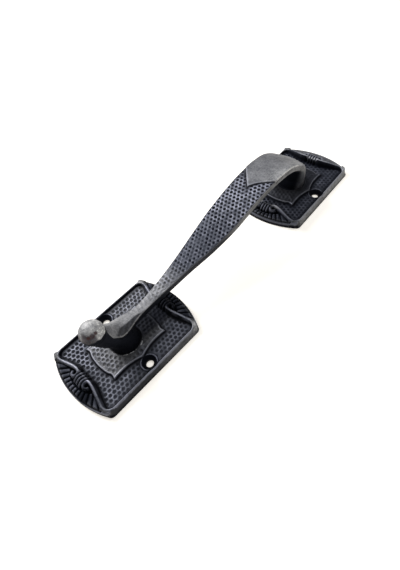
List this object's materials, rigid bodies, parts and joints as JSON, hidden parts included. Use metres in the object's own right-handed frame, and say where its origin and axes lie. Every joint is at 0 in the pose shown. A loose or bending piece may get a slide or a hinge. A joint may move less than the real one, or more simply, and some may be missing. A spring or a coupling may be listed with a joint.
{
  "type": "door pull handle",
  "caption": "Cast iron door pull: a flared, dimpled strap grip hooked over at the top, a ball finial at its lower post, and a shell-fan back plate under each post.",
  "frame": {"origin": "in the plane of the plates' backs, under the middle of the pull, halfway between the two posts", "axes": "+Z away from the door, +Y up the door from the ball finial's plate to the hooked end's plate, +X to the right as one faces the door"},
  "size_m": [0.0582, 0.2492, 0.0385],
  "materials": {
    "blackened_iron": "blackened, satin, worn lighter on its edges and crests",
    "screw_steel": "plain turned steel, slightly dulled"
  },
  "bodies": {
    "root": {"lower_plate": "blackened_iron", "upper_plate": "blackened_iron", "grip": "blackened_iron", "lower_screw": "screw_steel", "upper_screw": "screw_steel"}
  },
  "joints": []
}
